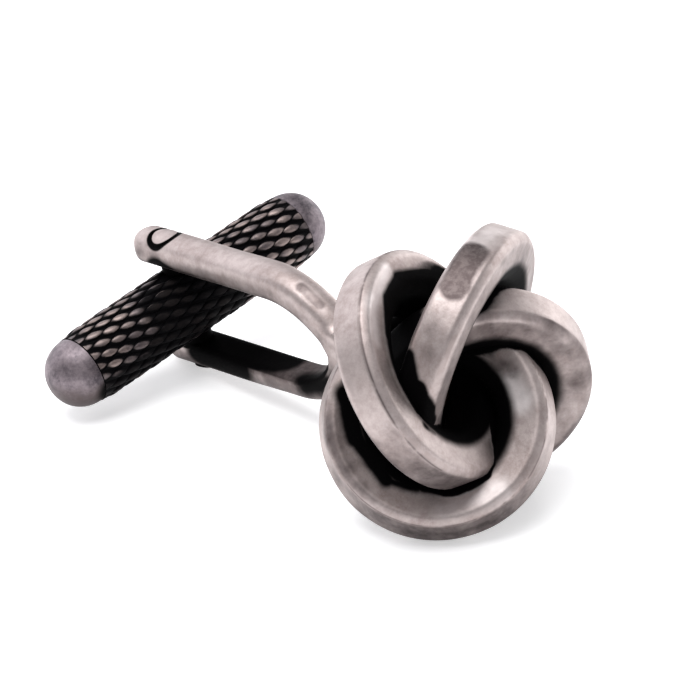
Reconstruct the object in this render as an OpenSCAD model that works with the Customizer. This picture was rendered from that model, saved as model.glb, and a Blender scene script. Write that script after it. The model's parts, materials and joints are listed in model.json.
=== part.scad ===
// Knot cufflink with a swivel toggle: four interlinked strands form the knot, a fork is brazed
// into its heart, and a knurled bar turns on a pin between the fork's two arms.
// Millimetres, +Z up. The cufflink lies on the floor z = 0 as it rests by itself, on two strands
// and the tip of the lower arm, with the knot towards -Y and the bar along X.

/* [Knot] */
// Width of the wire of a strand, across the ring
wire_width = 1.88; // [1.6:0.02:2]
// Depth of the wire, along the axis of the ring
wire_depth = 2.28; // [2.2:0.02:2.5]
// Bevel along the four edges of the wire
wire_bevel = 0.3; // [0.2:0.02:0.4]
// Radius of the centre line of each strand
strand_radii = [5.55, 5.07, 4.8, 4.8]; // [4.7:0.01:5.6]
// Distance from the axis of the post to the centre of each strand
strand_offsets = [1.62, 2.15, 2.15, 2.15]; // [1.6:0.01:2.2]
// Height of the centre of each strand in front of the centre of the knot
strand_heights = [0.04, 0.24, 0.04, -0.27]; // [-0.3:0.01:0.3]
// Turn of each strand about the post, away from its quarter, in degrees
strand_turns = [0, -2, -1.7, 3.6]; // [-4:0.1:4]
// Lean of each strand out of the plane of the knot, in degrees
strand_leans = [34.6, 33.8, 48.8, 32.7]; // [32:0.1:49]
// Tilt of the outer side of each strand to the front, in degrees
strand_tilts = [4.1, 4.7, 8, 11.9]; // [4:0.1:12]
// Twist of the wire of each strand about its own line, in degrees
strand_twists = [-5.3, 0.6, 14.2, 7.3]; // [-6:0.1:15]

/* [Fork] */
// Distance from the pivot of the toggle to the centre of the knot
post_length = 21.3; // [20:0.1:24]
// Clear space between the two arms
arm_gap = 4.7; // [4.4:0.05:5]
// Thickness of an arm, measured along the pivot pin
arm_thickness = 1.6; // [1.3:0.05:1.9]
// Width of an arm
arm_width = 2; // [1.8:0.05:2.2]
// Radius of the crowned outer face of an arm
arm_crown = 1.35; // [1.2:0.05:2]
// Length of an arm past the pivot, to its rounded tip
arm_tip = 2.4; // [1.6:0.05:2.4]
// Straight length of an arm from the pivot to its bend
arm_straight = 8.6; // [7.5:0.1:9.4]
// Radius of the bend on the inner side of an arm
bend_radius = 4.7; // [4:0.1:5]
// Thickness of the shank that joins the arms to the knot
shank_thickness = 1.6; // [1.2:0.05:1.8]
// Radius of the hollow between the arms and the shank
neck_radius = 1.8; // [1:0.1:2.2]
// Turn of the fork about the post, in degrees, as it was brazed
fork_turn = 12; // [6:0.5:12.5]

/* [Toggle] */
// Length of the bar over its two caps
toggle_length = 18.5; // [17:0.5:20]
// Diameter of the knurled barrel
barrel_diameter = 4; // [3.6:0.05:4.2]
// Length of a domed cap
cap_length = 1.9; // [1.9:0.05:2.6]
// Diameter of a cap where it meets the barrel
cap_diameter = 3.7; // [3.2:0.05:3.7]
// Chamfer at the ends of the barrel
barrel_chamfer = 0.15; // [0.05:0.05:0.3]

/* [Pivot] */
// Diameter of the pivot pin
pin_diameter = 1.4; // [1:0.05:1.5]
// Radial clearance of the pin in the barrel, where it turns
running_gap = 0.05; // [0.02:0.01:0.08]
// Radial clearance of the pin in the arms, where it is riveted
rivet_gap = 0.03; // [0.02:0.01:0.06]
// Width of the groove round the heads of the pin, on the outer faces of the arms
groove_width = 0.13; // [0.08:0.01:0.15]
// Depth of that groove
groove_depth = 0.12; // [0.05:0.01:0.2]

/* [Braze] */
// Radius of the disc of braze that fills the heart of the knot
braze_radius = 2.1; // [1.9:0.05:2.2]
// Thickness of the disc
braze_thickness = 1; // [0.8:0.05:1.2]
// Height of the pad of braze on the disc
pad_height = 0.35; // [0.2:0.05:0.5]
// Distance of the top of the pad behind the centre of the knot
pad_depth = 0.75; // [0.5:0.05:1]

/* [Hidden] */

$fn = 96;
joint_gap = 0.02;
gunmetal = [0.64, 0.6, 0.59];
dark_metal = [0.36, 0.33, 0.33];
copper = [0.78, 0.52, 0.42];

strand_step = 90;

arm_inner = arm_gap / 2;
arm_outer = arm_inner + arm_thickness;
crown_centre = arm_outer - arm_crown;
crown_edge = crown_centre + sqrt(pow(arm_crown, 2) - pow(arm_width / 2, 2));
tip_centre = arm_tip - arm_width / 2;

// An arm bends about a centre beyond the axis, until its inner face reaches the axis.
bend_drop = bend_radius - arm_inner;
bend_angle = acos(bend_drop / bend_radius);
crotch = arm_straight + bend_radius * sin(bend_angle);

// The hollow at the neck touches the shank and the outside of the bend.
shank_half = shank_thickness / 2;
bend_outer = bend_radius + arm_thickness;
neck_height = shank_half + neck_radius;
neck_reach = sqrt(pow(bend_outer + neck_radius, 2) - pow(bend_drop + neck_height, 2));
neck_top = bend_outer * (bend_drop + neck_height) / (bend_outer + neck_radius) - bend_drop;
braze_seat = post_length - pad_depth - pad_height - braze_thickness;

barrel_radius = barrel_diameter / 2;
barrel_half = toggle_length / 2 - cap_length;
cap_radius = cap_diameter / 2;
pin_radius = pin_diameter / 2;

// Corners of the bevelled wire, across the ring and along its axis, turned by its twist.
function wire_corners(twist) =
    let (across = wire_width / 2, along = wire_depth / 2)
    [for (corner = [[across, along - wire_bevel], [across - wire_bevel, along]],
          side = [-1, 1], end = [-1, 1])
        let (x = side * corner.x, y = end * corner.y)
        [x * cos(twist) - y * sin(twist), x * sin(twist) + y * cos(twist)]];

// How far a strand reaches from the centre of the knot in a direction given in the frame of the
// post, with the knot turned about the post. The corners of the wire run round in circles.
function strand_reach(index, turn, direction) =
    let (angle = turn + index * strand_step + strand_turns[index],
         lean = strand_leans[index],
         tilt = strand_tilts[index],
         outward = [cos(angle), sin(angle), 0],
         aside = [-sin(angle), cos(angle), 0],
         rising = cos(lean) * aside + [0, 0, sin(lean)],
         facing = [0, 0, cos(lean)] - sin(lean) * aside,
         across = norm([direction * (cos(tilt) * outward + sin(tilt) * facing), direction * rising]),
         along = direction * (cos(tilt) * facing - sin(tilt) * outward))
    direction * (strand_offsets[index] * outward + [0, 0, strand_heights[index]])
    + max([for (corner = wire_corners(strand_twists[index]))
        (strand_radii[index] + corner.x) * across + corner.y * along]);

function down(pitch) = [0, -cos(pitch), -sin(pitch)];

function forward(pitch) = [0, -sin(pitch), cos(pitch)];

// The turn at which the two lowest strands reach equally far down, by halving an interval.
function level_turn(pitch, low = 30, high = 70, steps = 20) =
    let (middle = (low + high) / 2,
         left = strand_reach(2, middle, down(pitch)),
         right = strand_reach(3, middle, down(pitch)))
    steps == 0 ? middle
    : left < right ? level_turn(pitch, middle, high, steps - 1)
    : level_turn(pitch, low, middle, steps - 1);

function knot_drop(pitch) = strand_reach(2, level_turn(pitch), down(pitch));

// Height of the pivot at which the tip of the lower arm touches the floor.
function pivot_height(pitch) =
    arm_crown + crown_centre * cos(fork_turn) * cos(pitch) + tip_centre * sin(pitch);

// The pitch at which the knot and the tip of the arm both touch the floor.
function rest_pitch(low = 0, high = 30, steps = 20) =
    let (middle = (low + high) / 2,
         knot_centre = pivot_height(middle) + post_length * sin(middle))
    steps == 0 ? middle
    : knot_centre < knot_drop(middle) ? rest_pitch(middle, high, steps - 1)
    : rest_pitch(low, middle, steps - 1);

pitch = rest_pitch();
knot_turn = level_turn(pitch);
front = max([for (index = [0:3]) strand_reach(index, knot_turn, forward(pitch))]);
back = tip_centre * cos(pitch) + crown_edge * cos(fork_turn) * sin(pitch)
    + arm_width / 2 * norm([cos(pitch), sin(fork_turn) * sin(pitch)]);
pivot_y = (front + post_length * cos(pitch) - back) / 2;

// The frame of the post: its origin is the pivot and its Z runs to the knot.
module on_post() {
    translate([0, pivot_y, pivot_height(pitch)])
    rotate([90 - pitch, 0, 0])
    children();
}

// The same frame turned with the fork: X is the bar of the toggle and Y is the pivot pin.
module on_fork() {
    on_post() rotate([0, 0, fork_turn]) children();
}

module along_pin() {
    rotate([-90, 0, 0]) children();
}

module along_bar() {
    rotate([0, 90, 0]) children();
}

module bevelled_rectangle(width, height, bevel) {
    x = width / 2;
    y = height / 2;
    polygon([
        [x, bevel - y], [x, y - bevel], [x - bevel, y], [bevel - x, y],
        [-x, y - bevel], [-x, bevel - y], [bevel - x, -y], [x - bevel, -y]
    ]);
}

module strand(index, wider = 0) {
    rotate([0, 0, knot_turn + index * strand_step + strand_turns[index]])
    translate([strand_offsets[index], 0, strand_heights[index]])
    rotate([strand_leans[index], 0, 0])
    rotate([0, -strand_tilts[index], 0])
    rotate_extrude()
    translate([strand_radii[index], 0])
    rotate(strand_twists[index])
    bevelled_rectangle(wire_width + 2 * wider, wire_depth + 2 * wider, wire_bevel);
}

// The four strands in the frame of the post, or a little wider to leave a gap round them.
module strands(wider = 0) {
    translate([0, 0, post_length])
    for (index = [0:3]) {
        strand(index, wider);
    }
}

// The knot is cast in one piece: the strands run into each other where they cross.
module knot() {
    color(gunmetal)
    on_post()
    strands();
}

// Section of an arm: flat inside and crowned outside, with the pin's direction along Y.
module arm_section() {
    intersection() {
        translate([-arm_width / 2, arm_inner]) square([arm_width, arm_thickness]);
        union() {
            translate([0, crown_centre]) circle(arm_crown);
            translate([-arm_width / 2, arm_inner - arm_crown])
            square([arm_width, crown_edge - arm_inner + arm_crown]);
        }
    }
}

module arm() {
    translate([0, 0, -tip_centre])
    linear_extrude(tip_centre + arm_straight)
    arm_section();

    translate([0, 0, -tip_centre])
    along_pin()
    rotate_extrude(angle = 180)
    intersection() {
        arm_section();
        translate([0, arm_inner]) square([arm_width, arm_thickness]);
    }

    translate([0, -bend_drop, arm_straight])
    rotate([90, 0, 90])
    rotate_extrude(angle = bend_angle)
    translate([bend_drop, 0])
    rotate(-90)
    arm_section();
}

module neck() {
    along_bar()
    linear_extrude(arm_width, center = true)
    difference() {
        translate([-arm_straight - neck_reach, -neck_top])
        square([arm_straight + neck_reach - crotch, 2 * neck_top]);
        for (side = [-1, 1]) {
            translate([-arm_straight - neck_reach, side * neck_height]) circle(neck_radius);
        }
    }
}

module shank() {
    translate([0, 0, crotch])
    linear_extrude(braze_seat - crotch)
    bevelled_rectangle(arm_width, shank_thickness, wire_bevel / 2);
}

// A block that ends in the crowns of both arms, or at a depth below them.
module between_crowns(depth) {
    linear_extrude(2 * arm_width, center = true) {
        square([arm_width, 2 * crown_centre], center = true);
        for (side = [-1, 1]) {
            translate([0, side * crown_centre]) circle(arm_crown - depth);
        }
    }
}

module fork() {
    color(gunmetal)
    on_fork()
    difference() {
        union() {
            for (side = [0, 180]) {
                rotate([0, 0, side]) arm();
            }
            neck();
            shank();
        }
        along_pin() cylinder(r = pin_radius + rivet_gap, h = 3 * arm_outer, center = true);
        difference() {
            along_pin() cylinder(r = pin_radius + groove_width, h = 3 * arm_outer, center = true);
            between_crowns(groove_depth);
        }
    }
}

// The braze has run in between the strands, and a pad of it stands on the end of the shank.
module braze() {
    color(copper)
    difference() {
        on_fork()
        translate([0, 0, braze_seat]) {
            cylinder(r = braze_radius, h = braze_thickness);
            linear_extrude(braze_thickness + pad_height)
            bevelled_rectangle(arm_width, shank_thickness, wire_bevel);
        }
        on_post() strands(joint_gap);
    }
}

// The ends of the pin are filed flush with the crowned faces of the arms.
module pivot_pin() {
    color(gunmetal)
    on_fork()
    intersection() {
        along_pin() cylinder(r = pin_radius, h = 3 * arm_outer, center = true);
        between_crowns(0);
    }
}

module toggle_barrel() {
    color(dark_metal)
    on_fork()
    difference() {
        along_bar()
        rotate_extrude()
        polygon([
            [0, -barrel_half], [barrel_radius - barrel_chamfer, -barrel_half],
            [barrel_radius, barrel_chamfer - barrel_half],
            [barrel_radius, barrel_half - barrel_chamfer],
            [barrel_radius - barrel_chamfer, barrel_half], [0, barrel_half]
        ]);
        along_pin()
        cylinder(r = pin_radius + running_gap, h = 2 * barrel_diameter, center = true);
    }
}

// A cap is a short cylinder that ends in a dome.
module toggle_cap() {
    color(dark_metal)
    along_bar()
    translate([0, 0, barrel_half + joint_gap]) {
        cylinder(r = cap_radius, h = cap_length - cap_radius);
        translate([0, 0, cap_length - cap_radius])
        rotate_extrude()
        intersection() {
            circle(cap_radius - joint_gap);
            square(cap_radius);
        }
    }
}

module toggle_cap_left() {
    on_fork() rotate([0, 0, 180]) toggle_cap();
}

module toggle_cap_right() {
    on_fork() toggle_cap();
}

knot();
fork();
braze();
pivot_pin();
toggle_barrel();
toggle_cap_left();
toggle_cap_right();
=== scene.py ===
"""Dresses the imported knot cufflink: knot of bevelled wire, forked post, braze, pin and knurled bar.

Sizes are in millimetres, in the fork's own frame or a ring's own frame, and every finished mesh is
set in place in metres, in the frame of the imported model.
"""

import json
import logging
import math
from collections.abc import Callable, Iterable, Iterator
from contextlib import contextmanager
from dataclasses import dataclass
from enum import Enum
from typing import Any

import bmesh
import bpy
import numpy as np
from mathutils import Matrix, Vector


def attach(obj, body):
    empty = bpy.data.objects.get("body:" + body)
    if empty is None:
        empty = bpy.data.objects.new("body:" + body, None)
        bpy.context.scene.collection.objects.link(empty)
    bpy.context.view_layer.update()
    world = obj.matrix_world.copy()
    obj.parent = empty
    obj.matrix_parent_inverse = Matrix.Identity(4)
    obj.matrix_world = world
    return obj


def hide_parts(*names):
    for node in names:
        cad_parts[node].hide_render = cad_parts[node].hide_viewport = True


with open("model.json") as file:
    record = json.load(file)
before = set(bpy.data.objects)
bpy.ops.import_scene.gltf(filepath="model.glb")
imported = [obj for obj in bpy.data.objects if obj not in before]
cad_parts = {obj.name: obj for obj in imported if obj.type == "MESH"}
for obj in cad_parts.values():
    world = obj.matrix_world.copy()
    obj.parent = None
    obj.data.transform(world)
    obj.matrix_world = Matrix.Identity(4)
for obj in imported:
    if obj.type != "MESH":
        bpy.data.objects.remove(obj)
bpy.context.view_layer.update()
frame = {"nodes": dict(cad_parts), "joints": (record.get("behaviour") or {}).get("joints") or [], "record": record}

MM = 0.001
log = logging.getLogger("cufflink")

Array = np.ndarray
Mesh = bpy.types.Mesh
Material = bpy.types.Material
Color = tuple[float, float, float]
Point = tuple[float, float, float]
Field = Callable[[Array], Array]


class Body(Enum):
    """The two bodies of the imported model."""

    FRAME = "frame"
    TOGGLE = "toggle"


class Slot(Enum):
    """The record's material slots."""

    KNOT = "knot_metal"
    FORK = "fork_metal"
    BRAZE = "braze_copper"
    KNURL = "knurled_metal"
    CAP = "cap_metal"


class Trait(Enum):
    """Attributes that the meshes carry for their finishes."""

    OPEN = "open"
    INWARD = "inward"
    RIDGE = "ridge"
    CREASE = "crease"
    # Black that is partly a dark deposit and partly painted shade and shadow.
    SOOT_AND_SHADE = "soot_and_shade"
    # Grey that is partly real dull patches and partly painted shade.
    GREY_AND_SHADE = "grey_and_shade"
    # Painted highlights.
    PAINTED_HIGHLIGHT = "painted_highlight"
    HEIGHT = "height"


@dataclass(frozen=True, eq=False)
class Value:
    """What comes out of a step of a node tree. Arithmetic on it adds the step that does it.

    Attributes:
        steps: The tree's steps.
        socket: The socket that it comes out of.
    """

    steps: "NodeSteps"
    socket: bpy.types.NodeSocket

    def __add__(self, other: "Source") -> "Value":
        """Returns the sum."""
        return self.steps.math("ADD", self, other)

    def __sub__(self, other: "Source") -> "Value":
        """Returns the difference."""
        return self.steps.math("SUBTRACT", self, other)

    def __rsub__(self, other: "Source") -> "Value":
        """Returns a plain number less this value."""
        return self.steps.math("SUBTRACT", other, self)

    def __mul__(self, other: "Source") -> "Value":
        """Returns the product."""
        return self.steps.math("MULTIPLY", self, other)

    def __truediv__(self, other: "Source") -> "Value":
        """Returns the quotient."""
        return self.steps.math("DIVIDE", self, other)

    def __rtruediv__(self, other: "Source") -> "Value":
        """Returns a plain number divided by this value."""
        return self.steps.math("DIVIDE", other, self)

    def __pow__(self, other: "Source") -> "Value":
        """Returns the power."""
        return self.steps.math("POWER", self, other)

    def __abs__(self) -> "Value":
        """Returns the value without its sign."""
        return self.steps.math("ABSOLUTE", self)


Source = Value | float | tuple[float, ...]


class NodeSteps:
    """A tree that is written as a list of steps, each of which returns what comes out of it."""

    def __init__(self, tree: bpy.types.NodeTree) -> None:
        """Keeps the tree that the steps go into."""
        self.tree = tree

    def feed(self, node: bpy.types.Node, inputs: dict[Any, Any]) -> None:
        """Ties values to a node's sockets, and sets plain numbers and colours on them.

        Args:
            node: The node.
            inputs: What goes into its sockets, by their name or place.
        """
        for key, value in inputs.items():
            if isinstance(value, Value):
                self.tree.links.new(value.socket, node.inputs[key])
            else:
                node.inputs[key].default_value = value

    def node(self, kind: str, inputs: dict[Any, Any] | None = None, **settings: Any) -> bpy.types.Node:
        """Adds a node.

        Args:
            kind: The node's type name.
            inputs: What goes into its sockets, by their name or place.
            settings: The node's own properties.

        Returns:
            The new node.
        """
        node = self.tree.nodes.new(kind)
        for name, value in settings.items():
            setattr(node, name, value)
        self.feed(node, inputs or {})
        return node

    def step(self, kind: str, inputs: dict[Any, Any] | None = None, out: int | str = 0,
             **settings: Any) -> Value:
        """Adds a node and returns one of its outputs.

        Args:
            kind: The node's type name.
            inputs: What goes into its sockets, by their name or place.
            out: Name or place of the output that is wanted.
            settings: The node's own properties.

        Returns:
            What comes out.
        """
        return Value(self, self.node(kind, inputs, **settings).outputs[out])

    def math(self, operation: str, first: Source, second: Source = 0.0) -> Value:
        """Returns the result of one step of arithmetic."""
        return self.step("ShaderNodeMath", {0: first, 1: second}, operation=operation)

    def vector(self, operation: str, first: Source, second: Source = (0.0, 0.0, 0.0)) -> Value:
        """Returns the vector that one step of vector arithmetic gives."""
        return self.step("ShaderNodeVectorMath", {0: first, 1: second}, operation=operation)

    def scaled(self, vector: Source, factor: Source) -> Value:
        """Returns a vector times a number."""
        return self.step("ShaderNodeVectorMath", {0: vector, "Scale": factor}, operation="SCALE")

    def combined(self, x: Source, y: Source, z: Source) -> Value:
        """Returns the vector of three numbers."""
        return self.step("ShaderNodeCombineXYZ", {0: x, 1: y, 2: z})

    def parts(self, vector: Value) -> tuple[Value, ...]:
        """Returns the three numbers of a vector."""
        return tuple(Value(self, s) for s in self.node("ShaderNodeSeparateXYZ", {0: vector}).outputs)

    def ramp(self, value: Source, low: Source, high: Source, start: float = 0.0, end: float = 1.0) -> Value:
        """Returns a smooth step of a value.

        Args:
            value: The number that drives it.
            low: Where the step starts.
            high: Where the step ends.
            start: The result below low.
            end: The result above high.

        Returns:
            The result.
        """
        inputs = {"Value": value, "From Min": low, "From Max": high, "To Min": start, "To Max": end}
        return self.step("ShaderNodeMapRange", inputs, interpolation_type="SMOOTHSTEP")


class Recipe(NodeSteps):
    """A Geometry Nodes tree with named inputs, which ends in Realize Instances and Set Material."""

    def __init__(self, name: str, sizes: dict[str, float | int]) -> None:
        """Starts the tree.

        Args:
            name: The tree's name.
            sizes: Its named inputs, whole numbers for counts and seeds.
        """
        super().__init__(bpy.data.node_groups.new(name, "GeometryNodeTree"))
        self.sizes = sizes
        sockets = self.tree.interface
        sockets.new_socket("Geometry", in_out="INPUT", socket_type="NodeSocketGeometry")
        for label, value in sizes.items():
            kind = "NodeSocketInt" if isinstance(value, int) else "NodeSocketFloat"
            sockets.new_socket(label, in_out="INPUT", socket_type=kind)
        sockets.new_socket("Finish", in_out="INPUT", socket_type="NodeSocketMaterial")
        sockets.new_socket("Geometry", in_out="OUTPUT", socket_type="NodeSocketGeometry")
        self.entry = self.tree.nodes.new("NodeGroupInput")

    def given(self, label: str) -> Value:
        """Returns one of the tree's inputs."""
        return Value(self, self.entry.outputs[label])

    def close(self, geometry: Value) -> None:
        """Ends the tree: smooth shading, real geometry and the finish.

        Args:
            geometry: What the steps have made.
        """
        smooth = self.step("GeometryNodeSetShadeSmooth", {"Geometry": geometry})
        real = self.step("GeometryNodeRealizeInstances", {"Geometry": smooth})
        dressed = self.step("GeometryNodeSetMaterial", {"Geometry": real, "Material": self.given("Finish")})
        self.node("NodeGroupOutput", {"Geometry": dressed})

    def make(self, name: str, base: Mesh, finish: Material, **changed: float | int) -> Mesh:
        """Runs the tree on a mesh and returns the result as a plain mesh.

        Args:
            name: The new mesh's name.
            base: The mesh that goes in.
            finish: The material that the tree sets.
            changed: Inputs that differ from the tree's usual sizes, with _ for a space.

        Returns:
            The new mesh.
        """
        worker = added(name + "_worker", base)
        modifier = worker.modifiers.new("recipe", "NODES")
        modifier.node_group = self.tree
        values = self.sizes | {label.replace("_", " "): value for label, value in changed.items()}
        for item in self.tree.interface.items_tree:
            if item.in_out == "INPUT" and item.name in values:
                modifier[item.identifier] = values[item.name]
            elif item.in_out == "INPUT" and item.name == "Finish":
                modifier[item.identifier] = finish
        return plain_mesh(worker, name)


def turned(degrees: float, axis: str) -> Matrix:
    """Returns the matrix of a turn about an axis."""
    return Matrix.Rotation(math.radians(degrees), 4, axis)


def added(name: str, data: bpy.types.ID) -> bpy.types.Object:
    """Adds an object to the scene.

    Args:
        name: The object's name.
        data: Its mesh, light or camera.

    Returns:
        The object.
    """
    thing = bpy.data.objects.new(name, data)
    bpy.context.scene.collection.objects.link(thing)
    return thing


def plain_mesh(worker: bpy.types.Object, name: str) -> Mesh:
    """Applies an object's modifiers and removes the object.

    Args:
        worker: The object.
        name: The new mesh's name.

    Returns:
        The evaluated mesh.
    """
    depsgraph = bpy.context.evaluated_depsgraph_get()
    mesh = bpy.data.meshes.new_from_object(worker.evaluated_get(depsgraph), depsgraph=depsgraph)
    mesh.name = name
    bpy.data.objects.remove(worker)
    return mesh


@contextmanager
def edited(mesh: Mesh) -> Iterator[bmesh.types.BMesh]:
    """Opens a mesh for editing and writes the result back.

    Args:
        mesh: The mesh.

    Yields:
        The mesh as a bmesh.
    """
    shell = bmesh.new()
    shell.from_mesh(mesh)
    yield shell
    shell.to_mesh(mesh)
    shell.free()


def rows_of(mesh: Mesh, what: str) -> Array:
    """Reads a vector for each point of a mesh.

    Args:
        mesh: The mesh.
        what: Its name, co for the places or normal for the normals.

    Returns:
        One row for each point.
    """
    flat = np.zeros(len(mesh.vertices) * 3)
    mesh.vertices.foreach_get(what, flat)
    return flat.reshape(-1, 3)


def points_of(mesh: Mesh) -> Array:
    """Returns a mesh's points, one row each."""
    return rows_of(mesh, "co")


def set_points(mesh: Mesh, points: Array) -> None:
    """Moves a mesh's points to new places."""
    mesh.vertices.foreach_set("co", points.ravel())
    mesh.update()


def set_trait(mesh: Mesh, trait: Trait, values: Array) -> None:
    """Stores one number for each point of a mesh."""
    attribute = mesh.attributes.get(trait.value) or mesh.attributes.new(trait.value, "FLOAT", "POINT")
    attribute.data.foreach_set("value", values.astype(np.float32))


def mesh_of(name: str, points: Iterable[Iterable[float]], faces: Iterable[Iterable[int]]) -> Mesh:
    """Makes a smooth mesh, with its faces turned outward.

    Args:
        name: The mesh's name.
        points: Its points.
        faces: The points of each of its faces.

    Returns:
        The mesh.
    """
    mesh = bpy.data.meshes.new(name)
    mesh.from_pydata([tuple(p) for p in points], [], [tuple(f) for f in faces])
    with edited(mesh) as shell:
        bmesh.ops.recalc_face_normals(shell, faces=shell.faces[:])
    mesh.shade_smooth()
    return mesh


def stitched(rows: list[list[int]], steps: int) -> list[tuple[int, ...]]:
    """Joins rows of points that run round an axis.

    Args:
        rows: The points of each row; a row of one point closes an end.
        steps: Points in a full row.

    Returns:
        The points of each face.
    """
    faces: list[tuple[int, ...]] = []
    for low, high in zip(rows, rows[1:]):
        for i in range(steps):
            j = (i + 1) % steps
            loop = [low[i % len(low)], low[j % len(low)], high[j % len(high)], high[i % len(high)]]
            faces.append(tuple(dict.fromkeys(loop)))
    return faces


def lathe(name: str, profile: list[tuple[float, float]], steps: int) -> Mesh:
    """Turns a profile about X into a closed mesh.

    Args:
        name: The mesh's name.
        profile: Places along X and radii, from end to end; a radius of 0 closes an end.
        steps: Points round the axis.

    Returns:
        The mesh.
    """
    points: list[Point] = []
    rows: list[list[int]] = []
    for x, radius in profile:
        count = steps if radius > 0 else 1
        rows.append(list(range(len(points), len(points) + count)))
        points += [(x, radius * math.cos(a), radius * math.sin(a))
                   for a in (math.tau * i / steps for i in range(count))]
    faces = stitched(rows, steps)
    faces += [tuple(row) for row in (rows[0], rows[-1]) if len(row) > 1]
    return mesh_of(name, points, faces)


def rounded(profile: list[tuple[float, float]], radius: float, steps: int) -> list[tuple[float, float]]:
    """Rounds the inner corners of an open profile.

    Args:
        profile: The corners, end to end.
        radius: How far from a corner the rounding starts.
        steps: Points on each rounding.

    Returns:
        The finer profile.
    """
    over_half = 2.01
    result = [profile[0]]
    for before, corner, after in zip(profile, profile[1:], profile[2:]):
        p, c, q = (np.array(v) for v in (before, corner, after))
        reach = min(radius, np.linalg.norm(p - c) / over_half, np.linalg.norm(q - c) / over_half)
        start = c + (p - c) / np.linalg.norm(p - c) * reach
        end = c + (q - c) / np.linalg.norm(q - c) * reach
        for t in np.linspace(0, 1, steps + 1):
            blend = start * (1 - t) ** 2 + c * 2 * t * (1 - t) + end * t ** 2
            result.append((float(blend[0]), float(blend[1])))
    return result + [profile[-1]]


def wobble(points: Array, size: float, seed: int, waves: int = 9) -> Array:
    """Returns a smooth unevenness, from about -1 to 1, as a hand-finished surface has.

    Args:
        points: Places, one row each.
        size: The rough size of a bump.
        seed: Fixes the pattern.
        waves: How many waves are added up.

    Returns:
        One number for each point.
    """
    draw = np.random.default_rng(seed)
    total = np.zeros(len(points))
    for _ in range(waves):
        direction = draw.normal(size=3)
        direction *= math.pi / size / np.linalg.norm(direction) * draw.uniform(0.6, 1.4)
        total += np.sin(points @ direction + draw.uniform(0, 2 * math.pi))
    return total / math.sqrt(waves)


def smooth_max(first: Array, second: Array, size: float) -> Array:
    """Returns the larger of two fields, which rounds the edge where they cross."""
    meet = np.maximum(size - np.abs(first - second), 0) / size
    return np.maximum(first, second) + meet * meet * size / 4


def smooth_min(first: Array, second: Array, size: float) -> Array:
    """Returns the smaller of two fields, which fills the corner where they cross."""
    return -smooth_max(-first, -second, size)


def fit_to_field(points: Array, surface: Field, rounds: int) -> Array:
    """Moves points onto the surface where a field is zero.

    Args:
        points: Places near the surface.
        surface: The field, below zero inside.
        rounds: Steps of the search.

    Returns:
        The moved points.
    """
    step, least_slope, longest_move = 0.01, 0.05, 0.15
    for _ in range(rounds):
        slope = np.stack([(surface(points + shift) - surface(points - shift)) / (2 * step)
                          for shift in np.eye(3) * step], axis=1)
        steepness = np.maximum((slope * slope).sum(1), least_slope)
        move = surface(points)[:, None] * slope / steepness[:, None]
        length = np.linalg.norm(move, axis=1, keepdims=True)
        points = points - move * np.minimum(1, longest_move / np.maximum(length, 1e-9))
    return points


@dataclass(frozen=True)
class Placement:
    """Where the pin and the post lie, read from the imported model.

    Attributes:
        pivot: Where the axes of the pin and the post meet, in metres.
        pin: Direction of the pin.
        post: Direction of the post, from the pivot to the knot.
    """

    pivot: Vector
    pin: Vector
    post: Vector

    @classmethod
    def packed(cls) -> "Placement":
        """Reads the placement from the joint and the mount.

        Returns:
            The placement.
        """
        joint = frame["joints"][0]
        seat = frame["record"]["mounts"][0]
        pin, post = Vector(joint["axis"]).normalized(), -Vector(seat["axis"]).normalized()
        return cls(Vector(joint["pos_m"]), pin, post)

    def fork(self) -> Matrix:
        """Returns the fork's frame: X along the bar, Y along the pin, Z to the knot, in millimetres."""
        return self._frame(self.pin.cross(self.post), self.pin)

    def level(self) -> Matrix:
        """Returns the post's frame before the fork's turn, with X level, in millimetres."""
        return self._frame(Vector((1, 0, 0)), self.post.cross(Vector((1, 0, 0))))

    def _frame(self, x: Vector, y: Vector) -> Matrix:
        """Returns the matrix of a frame at the pivot with Z along the post."""
        turn = Matrix((x, y, self.post)).transposed().to_4x4()
        return Matrix.Translation(self.pivot) @ turn @ Matrix.Scale(MM, 4)


@dataclass
class Piece:
    """Attributes:
        name: The piece's name.
        mesh: Its mesh, in millimetres until put sets it in place.
        place: The matrix that sets the mesh in place.
        body: The body that it moves with.
        slot: The record's material slot for it. Not used.
        finish: Its material.
        stands_for: The CAD nodes that it replaces.
    """

    name: str
    mesh: Mesh
    place: Matrix
    body: Body
    slot: Slot
    finish: Material
    stands_for: tuple[str, ...]

    def put(self) -> "Piece":
        """Puts the mesh in place, dresses it and ties it to its body.

        Returns:
            The piece itself.
        """
        self.mesh.transform(self.place)
        self.mesh.name = self.name
        self.mesh.materials.clear()
        self.mesh.materials.append(self.finish)
        shown = added(self.name, self.mesh)
        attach(shown, self.body.value)
        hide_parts(*self.stands_for)
        return self


@dataclass(frozen=True)
class Tone:
    """A colour and how rough its metal is.

    Attributes:
        color: The colour.
        roughness: The roughness, from 0 to 1.
    """

    color: Color
    roughness: float


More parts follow.
